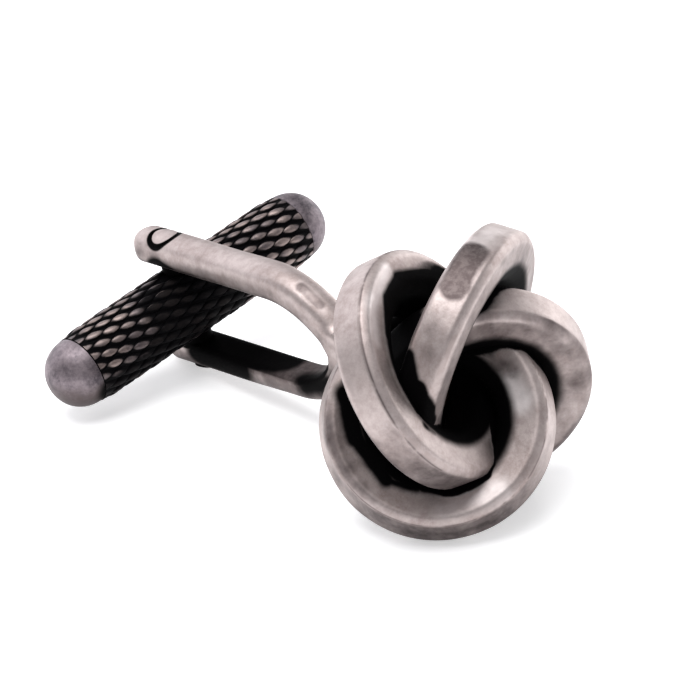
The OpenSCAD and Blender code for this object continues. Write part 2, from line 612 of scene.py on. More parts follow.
class MetalSteps(NodeSteps):
    """The steps that the finishes share.

    Attributes:
        SPECULAR: Level of the plain gloss over whatever isn't bare metal.
    """

    SPECULAR: float = 0.02

    def __init__(self, name: str) -> None:
        """Starts a material and the coordinates that its patterns use, in millimetres.

        Args:
            name: The material's name.
        """
        self.material = bpy.data.materials.new(name)
        self.material.use_nodes = True
        super().__init__(self.material.node_tree)
        self.shader = self.tree.nodes["Principled BSDF"]
        place = self.step("ShaderNodeTexCoord", out="Object")
        self.place = self.step("ShaderNodeMapping", {"Vector": place, "Scale": (1 / MM,) * 3})

    def noise(self, per_mm: float, detail: float = 3.0, rough: float = 0.55, shift: float = 0.0) -> Value:
        """Returns a noise of the given fineness.

        Args:
            per_mm: Blotches to the millimetre.
            detail: Levels of finer noise on it.
            rough: How strong the finer levels are.
            shift: Picks another part of the noise.

        Returns:
            The noise, about 0.5.
        """
        place = self.vector("ADD", self.place, (shift, shift * 0.7, -shift))
        inputs = {"Vector": place, "Scale": per_mm, "Detail": detail, "Roughness": rough}
        return self.step("ShaderNodeTexNoise", inputs, out="Fac")

    def trait(self, trait: Trait) -> Value:
        """Returns a trait of the mesh."""
        return self.step("ShaderNodeAttribute", out="Fac", attribute_name=trait.value)

    def mixed(self, share: Source, first: Source, second: Source) -> Value:
        """Returns a mix of two colours."""
        first, second = ((*c, 1.0) if isinstance(c, tuple) else c for c in (first, second))
        return self.step("ShaderNodeMix", {0: share, 6: first, 7: second}, out=2, data_type="RGBA")

    def blended(self, share: Source, first: Source, second: Source) -> Value:
        """Returns a mix of two numbers."""
        return self.step("ShaderNodeMix", {0: share, 2: first, 3: second}, data_type="FLOAT")

    def ragged(self, trait: Trait, per_mm: float, spread: float, low: float, high: float) -> Value:
        """Returns a trait as a patch with a ragged edge.

        Args:
            trait: The trait, from 0 to 1.
            per_mm: Fineness of the edge's raggedness.
            spread: How strong the raggedness is.
            low: Where the patch starts.
            high: Where it is full.

        Returns:
            The patch, from 0 to 1.
        """
        return self.ramp((self.noise(per_mm, shift=17.0) - 0.5) * spread + self.trait(trait), low, high)

    def finish(self, color: Source, metallic: Source, roughness: Source, relief: Value,
               depth: float) -> Material:
        """Ties the results to the shader.

        Args:
            color: The colour.
            metallic: How metallic it is.
            roughness: How rough it is.
            relief: The height of the fine relief, from 0 to 1.
            depth: What a height of 1 means, in millimetres.

        Returns:
            The material.
        """
        inputs = {"Height": relief, "Distance": depth * MM, "Strength": 1.0}
        bump = self.step("ShaderNodeBump", inputs, out="Normal")
        self.feed(self.shader, {"Base Color": color, "Metallic": metallic, "Roughness": roughness,
                                "Normal": bump, "Specular IOR Level": self.SPECULAR})
        return self.material


@dataclass(frozen=True)
class Gunmetal:
    """Satin gunmetal plate, black in its recesses, which is partly patina where no wheel reaches and partly
    painted shade.

    Attributes:
        name: The material's name.
        light: The polished tone.
        brown: The tone of its warm blotches.
        grey_and_shade_color: The colour of its grey patches and of its painted shade.
        black: The tone of the black: partly patina and painted shade in the recesses, partly a dark deposit and
            painted shadow under the smudges.
        bright: The colour of the painted highlights.
        mottle: How strong the blotches are.
        dark_below: Openness at which the black is full.
        bright_above: Openness from which there is no black.
        relief: Height of the fine relief.
    """

    name: str
    light: Tone = Tone((0.5, 0.432, 0.418), 0.47)
    brown: Tone = Tone((0.27, 0.213, 0.2), 0.52)
    grey_and_shade_color: Color = (0.088, 0.069, 0.068)
    black: Tone = Tone((0.0012, 0.001, 0.0012), 0.6)
    bright: Color = (0.86, 0.8, 0.79)
    mottle: float = 1.0
    dark_below: float = 0.34
    bright_above: float = 0.54
    relief: float = 0.007

    def material(self) -> Material:
        """Builds the material.

        Returns:
            The material.
        """
        m = MetalSteps(self.name)
        blotch = m.ramp(m.noise(0.45, rough=0.6), low=0.4, high=0.68)
        cloud = m.ramp(m.noise(2.3, detail=4.0, rough=0.65, shift=7.0), low=0.33, high=0.7)
        speck = m.noise(7.5, rough=0.7, shift=19.0)
        grain = m.noise(14.0, detail=2.0, rough=0.6, shift=3.0)
        brown = (blotch * 0.42 + (cloud * 0.3 + speck * 0.6) - 0.26) * self.mottle
        ridge = m.ramp(m.noise(0.7, rough=0.6, shift=11.0), low=0.4, high=0.65, end=0.5)
        brown = m.math("MAXIMUM", brown, m.trait(Trait.RIDGE) * ridge)
        dark = self._dark(m)
        color = m.mixed(dark, self._open_tone(m, brown, cloud), self.black.color)
        rough = m.blended(brown, self.light.roughness, self.brown.roughness)
        rough = m.blended(dark, grain * 0.1 + (rough - 0.05), self.black.roughness)
        return m.finish(color, 1.0 - dark, rough, cloud * 0.5 + grain * 0.5, self.relief)

    def _open_tone(self, m: MetalSteps, brown: Value, cloud: Value) -> Value:
        """Adds the steps of the metal's colour outside the black: its blotches, the painted highlights, the grey
        and painted shade, and the dark lines along the bevels.

        Args:
            m: The material's steps.
            brown: How warm each place is.
            cloud: The blotches that the grey and the painted shade are grained with.

        Returns:
            The colour.
        """
        color = m.mixed(brown, self.light.color, self.brown.color)
        # Painted highlights, where the smudges lay them.
        painted_highlight = m.ragged(Trait.PAINTED_HIGHLIGHT, per_mm=1.3, spread=0.5, low=0.0, high=1.1)
        color = m.mixed(painted_highlight, color, self.bright)
        # Grey that is partly real dull patches and partly painted shade, on the undersides and under the smudges.
        grey_and_shade = m.ragged(Trait.GREY_AND_SHADE, per_mm=0.9, spread=0.9, low=0.02, high=0.84)
        grey_and_shade = grey_and_shade * m.ramp(cloud, low=0.0, high=1.0, start=1.0, end=0.84)
        crease = m.trait(Trait.CREASE) * m.ramp(m.noise(0.6, rough=0.65, shift=23.0), low=0.36, high=0.56)
        return m.mixed(m.math("MAXIMUM", grey_and_shade, crease), color, self.grey_and_shade_color)

    def _dark(self, m: MetalSteps) -> Value:
        """Adds the steps that tell how black each place is: the recesses by their openness, partly patina and
        partly painted shade; the rings' inner faces; and the smudges, partly a dark deposit and partly painted
        shadow.

        Args:
            m: The material's steps.

        Returns:
            The black, from 0 to 1.
        """
        shake = (m.noise(1.6, detail=4.0, rough=0.65, shift=5.0) - 0.5) * 0.09
        # Black where little is open: partly patina, partly painted shade of the recesses.
        dark = m.ramp(shake + m.trait(Trait.OPEN), self.dark_below, self.bright_above, start=1.0, end=0.0)
        dark = m.math("MAXIMUM", dark, m.ragged(Trait.INWARD, per_mm=1.0, spread=0.14, low=0.4, high=0.96))
        # Black of the smudges and the grooves: partly a dark deposit, partly painted shade and shadow.
        return m.math("MAXIMUM", dark, m.ragged(Trait.SOOT_AND_SHADE, per_mm=1.1, spread=0.24, low=0.14, high=0.86))


@dataclass(frozen=True)
class KnurledGunmetal:
    """Blackened knurl with its tops worn back to warm grey metal; tops in the recesses and under the smudges stay
    black, partly patina and partly painted shade.

    Attributes:
        name: The material's name.
        worn: The tone of the tops.
        rubbed: The colour of the tops' dull places.
        black: The tone of the grooves, and of the tops that stay black in the recesses and under the smudges.
        relief: Height of the fine relief.
    """

    name: str
    worn: Tone = Tone((0.27, 0.215, 0.2), 0.44)
    rubbed: Color = (0.12, 0.1, 0.103)
    black: Tone = Tone((0.0022, 0.002, 0.0025), 0.5)
    relief: float = 0.01

    def material(self) -> Material:
        """Builds the material.

        Returns:
            The material.
        """
        m = MetalSteps(self.name)
        wear = m.noise(0.55, rough=0.6, shift=2.0)
        grain = m.noise(5.0, rough=0.65, shift=6.0)
        top = m.mixed(m.ramp(grain * 0.35 + wear, low=0.5, high=0.82), self.worn.color, self.rubbed)
        height = (wear - 0.5) * -0.35 + ((grain - 0.5) * 0.3 + m.trait(Trait.HEIGHT))
        # Tops that are little open, or under the smudges' black, stay black: partly patina and a dark deposit,
        # partly painted shade and shadow where the arms cover the bar.
        open_top = m.ramp(m.trait(Trait.OPEN), low=0.3, high=0.55)
        free_of_soot_and_shade = 1.0 - m.ragged(Trait.SOOT_AND_SHADE, per_mm=0.8, spread=0.6, low=0.25, high=0.8) * 0.96
        bare = m.ramp(height, low=0.66, high=1.0) * (open_top * free_of_soot_and_shade)
        color = m.mixed(bare, self.black.color, top)
        rough = m.blended(bare, self.black.roughness, self.worn.roughness)
        return m.finish(color, m.blended(bare, 0.1, 1.0), rough, grain, self.relief)


@dataclass(frozen=True)
class CopperBraze:
    """Rough, pitted braze of a pink copper colour with sooty hollows.

    Attributes:
        name: The material's name.
        bright: The tone of its high places.
        dull: The colour of its slopes.
        soot_and_shade: The tone of its pits and rim.
        relief: Height of the fine relief.
    """

    name: str
    bright: Tone = Tone((0.94, 0.68, 0.57), 0.42)
    dull: Color = (0.6, 0.38, 0.31)
    soot_and_shade: Tone = Tone((0.03, 0.013, 0.009), 0.5)
    relief: float = 0.03

    def material(self) -> Material:
        """Builds the material.

        Returns:
            The material.
        """
        m = MetalSteps(self.name)
        lump = m.noise(2.2, detail=4.0, rough=0.6, shift=4.0)
        pit = m.noise(6.5, rough=0.6, shift=9.0)
        copper = m.mixed(m.ramp(lump, low=0.4, high=0.62), self.dull, self.bright.color)
        bare = m.ramp((pit - 0.5) * 0.7 + m.trait(Trait.HEIGHT), low=0.42, high=0.62)
        color = m.mixed(bare, self.soot_and_shade.color, copper)
        rough = m.blended(bare, self.soot_and_shade.roughness, self.bright.roughness)
        return m.finish(color, m.blended(bare, 0.3, 1.0), rough, pit, self.relief)


@dataclass(frozen=True)
class Strand:
    """One ring of the knot. Angles are in degrees.

    Attributes:
        radius: Radius of its centre line.
        offset: Distance of its centre from the post's axis.
        height: How far its centre lies in front of the knot's.
        turn: Its turn about the post.
        lean: Its lean out of the knot's plane.
        tilt: How far its outer side is tilted to the front.
        twist: Twist of its wire.
        crease: How dark the line along its bevel is.
    """

    radius: float
    offset: float
    height: float
    turn: float
    lean: float
    tilt: float
    twist: float
    crease: float

    def place(self) -> Matrix:
        """Returns the matrix that sets the ring about the knot's centre."""
        return (turned(self.turn, "Z") @ Matrix.Translation((self.offset, 0, self.height))
                @ turned(self.lean, "X") @ turned(-self.tilt, "Y"))


@dataclass
class Knot:
    """The knot, cast in one piece: four interlaced rings of bevelled wire that run into each other.

    Attributes:
        place: Where the post lies.
        finish: The strands' material.
        post_length: From the pivot to the knot's centre.
        wire_width: The wire's width across the ring.
        wire_depth: The wire's depth along the ring's axis.
        bevel: How much its corners are cut off.
        crispness: How sharp the edges of the bevels are.
        flare: How far the ring's inner side runs in towards its back.
        unevenness: How uneven the wire's surface is.
        ridge_soft: Width over which a bevel's wear fades.
        crease_width: Half the width of the dark line along a bevel.
        ring_steps: Points round a ring.
        wire_steps: Points round its wire.
        rings: The four rings.
    """

    place: Placement
    finish: Material
    post_length: float = 21.3
    wire_width: float = 1.88
    wire_depth: float = 2.28
    bevel: float = 0.34
    crispness: float = 26.0
    flare: float = 1.15
    unevenness: float = 0.05
    ridge_soft: float = 0.06
    crease_width: float = 0.07
    ring_steps: int = 240
    wire_steps: int = 96
    rings: tuple[Strand, ...] = (
        Strand(radius=5.55, offset=1.62, height=0.04, turn=56.45,
               lean=34.6, tilt=4.1, twist=-5.3, crease=0.15),
        Strand(radius=5.07, offset=2.15, height=0.24, turn=144.45,
               lean=33.8, tilt=4.7, twist=0.6, crease=0.9),
        Strand(radius=4.8, offset=2.15, height=0.04, turn=234.75,
               lean=48.8, tilt=8.0, twist=14.2, crease=0.8),
        Strand(radius=4.8, offset=2.15, height=-0.27, turn=330.05,
               lean=32.7, tilt=11.9, twist=7.3, crease=0.3),
    )

    def recipe(self) -> Recipe:
        """Builds the tree that makes a ring: a round path, a bevelled profile and a hand's unevenness.

        Returns:
            The tree, which needs no base mesh.
        """
        r = Recipe("bevelled_wire_ring", {
            "Ring Radius": 5.0, "Width": self.wire_width, "Depth": self.wire_depth, "Bevel": self.bevel,
            "Crispness": self.crispness, "Twist": 0.0, "Flare": self.flare, "Unevenness": self.unevenness,
            "Ring Steps": self.ring_steps, "Wire Steps": self.wire_steps, "Seed": 1,
        })
        path = r.step("GeometryNodeCurvePrimitiveCircle",
                      {"Resolution": r.given("Ring Steps"), "Radius": r.given("Ring Radius")})
        wire = r.step("GeometryNodeCurvePrimitiveCircle",
                      {"Resolution": r.given("Wire Steps"), "Radius": 1.0})
        profile = r.step("GeometryNodeSetPosition", {"Geometry": wire, "Position": self._bevelled(r)})
        swept = r.step("GeometryNodeCurveToMesh", {"Curve": path, "Profile Curve": profile})
        place = r.step("GeometryNodeInputPosition")
        ring = r.step("GeometryNodeSetPosition", {"Geometry": swept, "Offset": self._flared(r, place)})
        shifted = r.vector("ADD", place, r.combined(r.given("Seed") * 13.7, 0.0, r.given("Seed") * 5.3))
        swell = r.step("ShaderNodeTexNoise", {"Vector": shifted, "Scale": 0.42, "Detail": 1.0}, out="Fac")
        offset = r.scaled(r.step("GeometryNodeInputNormal"), (swell - 0.5) * r.given("Unevenness"))
        r.close(r.step("GeometryNodeSetPosition", {"Geometry": ring, "Offset": offset}))
        return r

    def _bevelled(self, r: Recipe) -> Value:
        """Adds the steps that pull a round profile in to a bevelled rectangle.

        Args:
            r: The ring's tree.

        Returns:
            The new places.
        """
        circle = r.step("GeometryNodeInputPosition")
        x, y, _ = (abs(c) for c in r.parts(circle))
        half_width, half_depth = r.given("Width") * 0.5, r.given("Depth") * 0.5
        bevel_reach = half_width + half_depth - r.given("Bevel")
        crispness = r.given("Crispness")
        sides = [(top / reach) ** crispness
                 for top, reach in ((x, half_width), (y, half_depth), (x + y, bevel_reach))]
        factor = (sides[0] + sides[1] + sides[2]) ** (-1.0 / crispness)
        turn = r.combined(0.0, 0.0, r.math("RADIANS", r.given("Twist") * -1.0))
        return r.step("ShaderNodeVectorRotate", {"Vector": r.scaled(circle, factor), "Rotation": turn},
                      rotation_type="EULER_XYZ")

    def _flared(self, r: Recipe, place: Value) -> Value:
        """Adds the steps that let the inner side of a ring run in towards its back.

        Args:
            r: The ring's tree.
            place: Where each point is.

        Returns:
            How far each point moves.
        """
        x, y, up = r.parts(place)
        twist = r.math("RADIANS", r.given("Twist"))
        cosine, sine = r.math("COSINE", twist), r.math("SINE", twist)
        outward = r.math("SQRT", x * x + y * y) - r.given("Ring Radius")
        across = outward * cosine + up * sine
        along = up * cosine - outward * sine
        inner = r.ramp(across / r.given("Width"), low=0.5, high=-0.5)
        deep = r.math("MAXIMUM", 0.5 - along / r.given("Depth"), 0.0)
        shallow = 1.0 - r.math("MINIMUM", deep, 1.0)
        bow = r.math("SQRT", 1.0 - shallow * shallow)
        reach = inner * bow * (r.given("Flare") * -1.0)
        return r.scaled(r.vector("NORMALIZE", r.combined(x, y, 0.0)), reach)

    def strands(self) -> list[Piece]:
        """Makes the four strands.

        Returns:
            The strands, in place.
        """
        recipe = self.recipe()
        base = bpy.data.meshes.new("no_base")
        centre = self.place.level() @ Matrix.Translation((0, 0, self.post_length))
        pieces = []
        for number, ring in enumerate(self.rings, 1):
            mesh = recipe.make(f"knot_strand_{number}", base, self.finish,
                               Ring_Radius=ring.radius, Twist=ring.twist, Seed=number)
            self._mark(mesh, ring)
            pieces.append(Piece(mesh.name, mesh, centre @ ring.place(), Body.FRAME, Slot.KNOT,
                                self.finish, ("knot",)).put())
        return pieces

    def _mark(self, mesh: Mesh, ring: Strand) -> None:
        """Stores on a ring which of its points lie on the inner face and which on the bevels.

        Args:
            mesh: The ring's mesh, before it is set in place.
            ring: Its sizes.
        """
        points = points_of(mesh)
        outward, up = np.hypot(points[:, 0], points[:, 1]) - ring.radius, points[:, 2]
        c, s = math.cos(math.radians(ring.twist)), math.sin(math.radians(ring.twist))
        across, along = outward * c + up * s, up * c - outward * s
        half_width, half_depth = self.wire_width / 2, self.wire_depth / 2
        set_trait(mesh, Trait.INWARD, np.clip(-across / half_width, 0, 1))
        edge = np.minimum(np.abs(across) - half_width + self.bevel, np.abs(along) - half_depth + self.bevel)
        set_trait(mesh, Trait.RIDGE, np.clip(edge / self.ridge_soft, 0, 1))
        corner = np.hypot(across - half_width, along - half_depth + self.bevel)
        set_trait(mesh, Trait.CREASE, ring.crease * np.clip(1.6 - corner / self.crease_width, 0, 1))


@dataclass
class BrazedFork:
    """The fork with its shank, the braze on its end and the riveted pin.

    Attributes:
        place: Where the pin and the post lie.
        metal: The fork's and the pin's material.
        copper: The braze's material.
        arm_inner: From the middle plane to the arms' inner faces.
        arm_thickness: Thickness of the upper arm at its crown.
        lower_thickness: Thickness of the lower arm.
        arm_half_width: Half the arms' width, and half the shank's.
        crown: Radius of the arms' crowned outer faces.
        tip_centre: How far past the pin the arms' round tips are centred.
        straight: From the pin to where the arms begin to bend.
        bend_radius: Radius of the bend at the arms' inner faces.
        crotch: From the pin to where the arms' inner faces meet and the shank begins.
        shank_half: Half the shank's thickness.
        neck_radius: Radius of the neck's hollow.
        neck_height: Half the neck's thickness where it meets the arms.
        neck_end: From the pin to the end of the neck.
        shank_end: From the pin to the end of the shank.
        edge: How soft the fork's edges are.
        neck_fillet: How soft the corner between shank and neck is.
        crotch_fillet: How soft the corner between arms and shank is.
        voxel: Size of the cells that the fork is remeshed from.
        unevenness: How uneven the cast surface is.
        plug_radius: Radius of the plugs that fill the bores of the fork's copy.
        plug_length: Length of the plugs.
        plug_middle: From the arms' inner faces to the plugs' middles.
        pin_radius: Radius of the pin.
        head_proud: How far the pin's heads stand out.
        head_edge: Width of the broken edge round them.
        head_drop: How far that edge falls.
        groove: Radius of the groove round a head.
        groove_rise: How far the groove lifts out on the side where it fades.
        groove_fades_at: On which side it fades, in degrees.
        groove_aspect: Width of the groove's section over its height.
        groove_edge: How soft the groove's edges are.
        soot_soft: Width over which the black in the groove fades.
        braze_radius: Radius of the braze.
        braze_seat: From the pin to the back of the braze.
        braze_top: From the pin to about the front of its pad.
        pad: Half the sides of the pad on it.
    """

    place: Placement
    metal: Material
    copper: Material
    arm_inner: float = 2.35
    arm_thickness: float = 1.6
    lower_thickness: float = 1.45
    arm_half_width: float = 1.0
    crown: float = 1.35
    tip_centre: float = 1.4
    straight: float = 8.6
    bend_radius: float = 4.7
    crotch: float = 12.67
    shank_half: float = 0.8
    neck_radius: float = 1.8
    neck_height: float = 1.5
    neck_end: float = 15.01
    shank_end: float = 19.3
    edge: float = 0.5
    neck_fillet: float = 0.1
    crotch_fillet: float = 0.3
    voxel: float = 0.07
    unevenness: float = 0.012
    plug_radius: float = 0.86
    plug_length: float = 1.3
    plug_middle: float = 0.73
    pin_radius: float = 0.7
    head_proud: float = 0.014
    head_edge: float = 0.03
    head_drop: float = 0.035
    groove: float = 0.11
    groove_rise: float = 0.13
    groove_fades_at: float = 40.0
    groove_aspect: float = 0.8
    groove_edge: float = 0.03
    soot_soft: float = 0.13
    braze_radius: float = 2.0
    braze_seat: float = 19.2
    braze_top: float = 20.5
    pad: tuple[float, float] = (1.12, 0.86)

    def arm_field(self, p: Array) -> Array:
        """Returns the field of both arms: below zero inside, with rounded edges.

        Args:
            p: Places in the fork's frame, one row each.

        Returns:
            One number for each place.
        """
        x, y, z = p[:, 0], np.abs(p[:, 1]), p[:, 2]
        thickness = np.where(p[:, 1] < 0, self.lower_thickness, self.arm_thickness)
        bent = np.hypot(y + (self.bend_radius - self.arm_inner), z - self.straight) - self.bend_radius
        depth = np.where(z > self.straight, bent, y - self.arm_inner)
        across = np.hypot(x, np.minimum(z + self.tip_centre, 0))
        side = across - self.arm_half_width
        top = np.hypot(across, np.maximum(depth - thickness + self.crown, 0)) - self.crown
        return smooth_max(smooth_max(side, -depth, self.edge), top, self.edge * 0.8)

    def shank_field(self, p: Array) -> Array:
        """Returns the field of the shank and of the neck, with hollow sides, that joins it to the arms.

        Args:
            p: Places in the fork's frame, one row each.

        Returns:
            One number for each place.
        """
        x, y, z = np.abs(p[:, 0]), np.abs(p[:, 1]), p[:, 2]
        bar = np.maximum(y - self.shank_half, np.maximum(self.crotch - z, z - self.shank_end))
        hollow = self.neck_radius - np.hypot(y - self.shank_half - self.neck_radius, z - self.neck_end)
        neck = np.maximum(np.maximum(y - self.neck_height, hollow),
                          np.maximum(self.crotch - z, z - self.neck_end))
        return smooth_max(x - self.arm_half_width, smooth_min(bar, neck, self.neck_fillet), self.edge)

    def crown_height(self, x: Array) -> Array:
        """Returns how far from the fork's middle plane the crown of an arm stands."""
        rise = np.sqrt(np.maximum(self.crown ** 2 - x * x, 0))
        return self.arm_inner + self.arm_thickness - self.crown + rise

    def groove_soot(self, p: Array) -> Array:
        """Returns how black each point is in the grooves round the pin's heads."""
        soot_and_shade = np.clip(1.3 + self.groove_field(p) / self.soot_soft, 0, 1)
        return np.where(np.abs(p[:, 1]) > self.arm_inner + self.arm_thickness / 2, soot_and_shade, 0.0)

    def groove_field(self, p: Array) -> Array:
        """Returns the field of what lies outside the grooves round the pin's heads.

        Args:
            p: Places in the fork's frame, one row each.

        Returns:
            One number for each place.
        """
        angle = np.arctan2(p[:, 2], p[:, 0])
        radius = self.pin_radius + self.groove
        fade = self.groove_rise * np.maximum(np.cos(angle - math.radians(self.groove_fades_at)), 0) ** 3
        rise = np.abs(p[:, 1]) - (self.crown_height(radius * np.cos(angle)) + fade)
        return self.groove - np.hypot(np.hypot(p[:, 0], p[:, 2]) - radius, rise * self.groove_aspect)

    def fork_field(self, p: Array) -> Array:
        """Returns the field of the whole fork with the unevenness of a cast piece.

        Args:
            p: Places in the fork's frame, one row each.

        Returns:
            One number for each place.
        """
        joined = smooth_min(self.arm_field(p), self.shank_field(p), self.crotch_fillet)
        cast = joined + self.unevenness * wobble(p, size=2.4, seed=5)
        return smooth_max(cast, self.groove_field(p), self.groove_edge)

    def fork_mesh(self) -> Mesh:
        """Remeshes a copy of the CAD fork, with its bores filled, and fits it to the field.

        Returns:
            The fork's mesh.
        """
        mesh = bpy.data.meshes.new("fork_filled")
        with edited(mesh) as shell:
            shell.from_mesh(frame["nodes"]["fork"].data)
            bmesh.ops.transform(shell, matrix=self.place.fork().inverted(), verts=shell.verts)
            bmesh.ops.remove_doubles(shell, verts=shell.verts, dist=0.001)
            for side in (-1, 1):
                middle = Matrix.Translation((0, side * (self.arm_inner + self.plug_middle), 0))
                bmesh.ops.create_cone(shell, cap_ends=True, segments=32, radius1=self.plug_radius,
                                      radius2=self.plug_radius, depth=self.plug_length,
                                      matrix=middle @ turned(90, "X"))
        worker = added("fork_worker", mesh)
        remesh = worker.modifiers.new("voxels", "REMESH")
        remesh.mode, remesh.voxel_size = "VOXEL", self.voxel
        result = plain_mesh(worker, "post_fork")
        set_points(result, fit_to_field(points_of(result), self.fork_field, rounds=8))
        self._refine(result)
        set_points(result, fit_to_field(points_of(result), self.fork_field, rounds=4))
        set_trait(result, Trait.SOOT_AND_SHADE, self.groove_soot(points_of(result)))
        result.shade_smooth()
        return result

    def _refine(self, mesh: Mesh) -> None:
        """Divides the faces round the pin's heads, where the grooves are.

        Args:
            mesh: The fork's mesh.
        """
        above, within = self.arm_inner + 0.9, 1.0
        with edited(mesh) as shell:
            near = [e for e in shell.edges
                    if all(abs(v.co.y) > above and math.hypot(v.co.x, v.co.z) < within for v in e.verts)]
            bmesh.ops.subdivide_edges(shell, edges=near, cuts=3, use_grid_fill=True)
            bmesh.ops.triangulate(shell, faces=[f for f in shell.faces if len(f.verts) > 4])

    def pin_mesh(self) -> Mesh:
        """Makes the pin, its heads domed like the arms' crowns, a touch proud and broken at their edges.

        Returns:
            The pin's mesh.
        """
        rings, steps = 8, 64
        levels = [self.pin_radius * k / rings for k in range(rings)]
        levels += [self.pin_radius - self.head_edge, self.pin_radius]
        points: list[Point] = []
        rows: list[list[int]] = []
        for radius, side in [(r, 1) for r in levels] + [(r, -1) for r in reversed(levels)]:
            count = steps if radius > 0 else 1
            rows.append(list(range(len(points), len(points) + count)))
            for i in range(count):
                a = math.tau * i / steps
                x, z = radius * math.cos(a), radius * math.sin(a)
                drop = self.head_drop if radius == self.pin_radius else 0.0
                height = float(self.crown_height(np.float64(x))) + self.head_proud - drop
                points.append((x, side * height, z))
        mesh = mesh_of("pin_riveted", points, stitched(rows, steps))
        rim = np.hypot(*points_of(mesh)[:, ::2].T) > self.pin_radius - self.head_edge / 3
        set_trait(mesh, Trait.SOOT_AND_SHADE, rim.astype(float))
        mesh.set_sharp_from_angle(angle=math.radians(38))
        return mesh

    def braze_mesh(self) -> Mesh:
        """Makes the braze: a puddle with a lumpy, pitted pad that has run in between the strands.

        Returns:
            The braze's mesh.
        """
        mesh = bpy.data.meshes.new("braze_fill")
        with edited(mesh) as shell:
            bmesh.ops.create_icosphere(shell, subdivisions=5, radius=1.0)
        ball = points_of(mesh)
        half = (self.braze_top - self.braze_seat) / 2
        level = np.sign(ball[:, 2]) * np.abs(ball[:, 2]) ** 0.6
        spread = self.braze_radius * (1 + 0.05 * wobble(ball, size=0.9, seed=20))
        torn = 0.12 * wobble(ball, size=0.12, seed=24) * (ball[:, 1] < 0.1)
        sides = (np.abs(ball[:, 0] * spread + torn), np.abs(ball[:, 1] * spread + torn))
        pad = np.clip(level, 0, 1) * np.prod([np.clip((half_side - side) / 0.16 + 0.5, 0, 1)
                                              for half_side, side in zip(self.pad, sides)], axis=0)
        heights = self.braze_seat + half * 0.8 * (1 + level) + 0.45 * half * pad
        points = np.stack([ball[:, 0] * spread, ball[:, 1] * spread, heights], axis=1)
        lumps = 0.07 * wobble(points, size=0.7, seed=21) + 0.04 * wobble(points, size=0.3, seed=22)
        lumps *= 1 - 0.6 * pad
        pits = -0.1 * np.clip(wobble(points, size=0.35, seed=23) - 0.9, 0, 1)
        set_points(mesh, points + ball * (lumps + pits)[:, None])
        set_trait(mesh, Trait.HEIGHT, np.clip(0.22 + 0.62 * pad + 1.6 * (lumps + pits), 0, 1))
        mesh.shade_smooth()
        return mesh

    def pieces(self) -> list[Piece]:
        """Makes the fork, the pin and the braze.

        Returns:
            The three pieces, in place.
        """
        there = self.place.fork()
        return [
            Piece("post_fork", self.fork_mesh(), there, Body.FRAME, Slot.FORK,
                  self.metal, ("fork",)).put(),
            Piece("pin_riveted", self.pin_mesh(), there, Body.FRAME, Slot.FORK,
                  self.metal, ("pivot_pin",)).put(),
            Piece("braze_fill", self.braze_mesh(), there, Body.FRAME, Slot.BRAZE,
                  self.copper, ("braze",)).put(),
        ]


